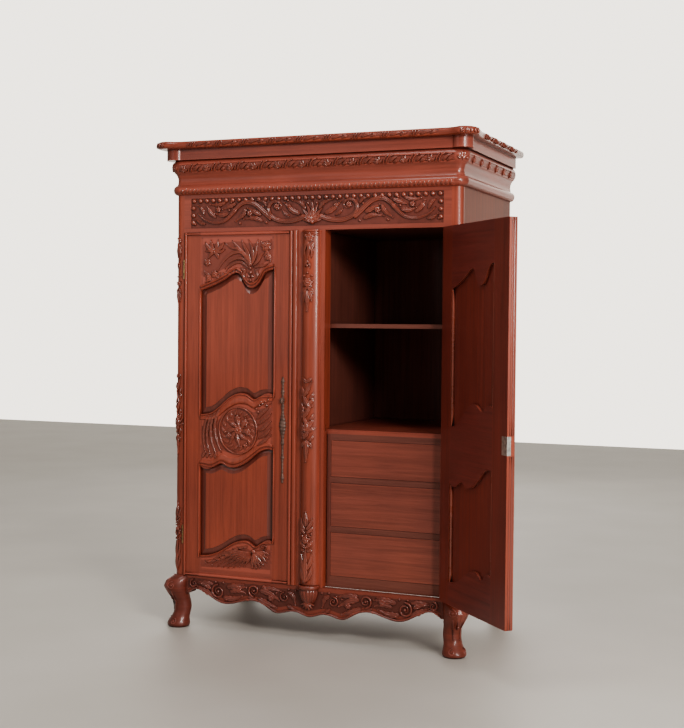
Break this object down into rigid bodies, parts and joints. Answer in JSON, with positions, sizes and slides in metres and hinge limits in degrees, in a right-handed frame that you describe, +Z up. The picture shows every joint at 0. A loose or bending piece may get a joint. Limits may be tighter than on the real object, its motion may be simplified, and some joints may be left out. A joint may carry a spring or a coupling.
{
  "type": "armoire",
  "caption": "Carved wooden armoire on cabriole legs, with hinged doors and lock bolts, an inner shelf and drawers, and a moulded crown.",
  "frame": {"origin": "on the floor, at the middle of the carcass footprint between the four feet", "axes": "+Z up, -Y out of the front with the doors, +X to the right of someone who faces the doors"},
  "size_m": [1.699, 1.1491, 2.107],
  "materials": {
    "carved_mahogany": "red-brown stained mahogany under satin lacquer",
    "interior_wood": "dark red-brown stained, satin",
    "dark_iron": "aged dark pewter-coloured cast iron",
    "lock_steel": "brushed, dull",
    "hinge_brass": "aged brass"
  },
  "bodies": {
    "carcass": {"front_post_left": "carved_mahogany", "front_post_right": "carved_mahogany", "side_panel_left": "carved_mahogany", "side_panel_right": "carved_mahogany", "back_panel": "interior_wood", "bottom_board": "interior_wood", "ceiling_board": "interior_wood", "partition": "interior_wood", "frieze_rail": "carved_mahogany", "frieze_panel": "carved_mahogany", "centre_post": "carved_mahogany", "pilaster": "carved_mahogany", "pilaster_drop": "carved_mahogany", "front_apron": "carved_mahogany", "side_aprons": "carved_mahogany", "rear_rail": "carved_mahogany", "leg_front_left": "carved_mahogany", "leg_front_right": "carved_mahogany", "rear_legs": "carved_mahogany", "crown_lower_moulding": "carved_mahogany", "crown_carved_torus": "carved_mahogany", "crown_band": "carved_mahogany", "crown_corner_blocks": "carved_mahogany", "top_board": "carved_mahogany", "upper_shelf": "interior_wood", "shelf_pins": "hinge_brass", "counter_board": "interior_wood", "drawer_case_sides": "interior_wood", "drawer_dust_boards": "interior_wood", "hanging_rail": "hinge_brass", "frame_hinge_leaves": "hinge_brass", "hinge_pins": "hinge_brass"},
    "left_door": {"left_door_hinge_stile": "carved_mahogany", "left_door_lock_stile": "carved_mahogany", "left_door_bottom_rail": "carved_mahogany", "left_door_middle_rail": "carved_mahogany", "left_door_top_rail": "carved_mahogany", "left_door_lower_panel": "carved_mahogany", "left_door_upper_panel": "carved_mahogany", "left_door_escutcheon": "dark_iron", "left_door_lock_case": "lock_steel", "left_door_hinge_leaves": "hinge_brass"},
    "left_lock_bolt": {"left_door_lock_bolt": "lock_steel"},
    "right_door": {"right_door_hinge_stile": "carved_mahogany", "right_door_lock_stile": "carved_mahogany", "right_door_bottom_rail": "carved_mahogany", "right_door_middle_rail": "carved_mahogany", "right_door_top_rail": "carved_mahogany", "right_door_lower_panel": "carved_mahogany", "right_door_upper_panel": "carved_mahogany", "right_door_escutcheon": "dark_iron", "right_door_lock_case": "lock_steel", "right_door_hinge_leaves": "hinge_brass"},
    "right_lock_bolt": {"right_door_lock_bolt": "lock_steel"},
    "top_drawer": {"top_drawer_front": "carved_mahogany", "top_drawer_box": "interior_wood"},
    "middle_drawer": {"middle_drawer_front": "carved_mahogany", "middle_drawer_box": "interior_wood"},
    "bottom_drawer": {"bottom_drawer_front": "carved_mahogany", "bottom_drawer_box": "interior_wood"}
  },
  "joints": [
    {"name": "left_door_hinge", "type": "hinge", "parent": "carcass", "child": "left_door", "pos_m": [-0.605, -0.3645, 0.985], "axis": [0, 0, -1], "range_deg": [0, 137]},
    {"name": "right_door_hinge", "type": "hinge", "parent": "carcass", "child": "right_door", "pos_m": [0.605, -0.3645, 0.985], "axis": [0, 0, 1], "range_deg": [-134, 3]},
    {"name": "left_bolt_slide", "type": "slide", "parent": "left_door", "child": "left_lock_bolt", "axis": [1, 0, 0], "range_m": [0, 0.009]},
    {"name": "right_bolt_slide", "type": "slide", "parent": "right_door", "child": "right_lock_bolt", "axis": [0.6947, -0.7193, 0], "range_m": [0, 0.009]},
    {"name": "top_drawer_slide", "type": "slide", "parent": "carcass", "child": "top_drawer", "axis": [0, -1, 0], "range_m": [0, 0.42]},
    {"name": "middle_drawer_slide", "type": "slide", "parent": "carcass", "child": "middle_drawer", "axis": [0, -1, 0], "range_m": [0, 0.42]},
    {"name": "bottom_drawer_slide", "type": "slide", "parent": "carcass", "child": "bottom_drawer", "axis": [0, -1, 0], "range_m": [0, 0.42]}
  ]
}
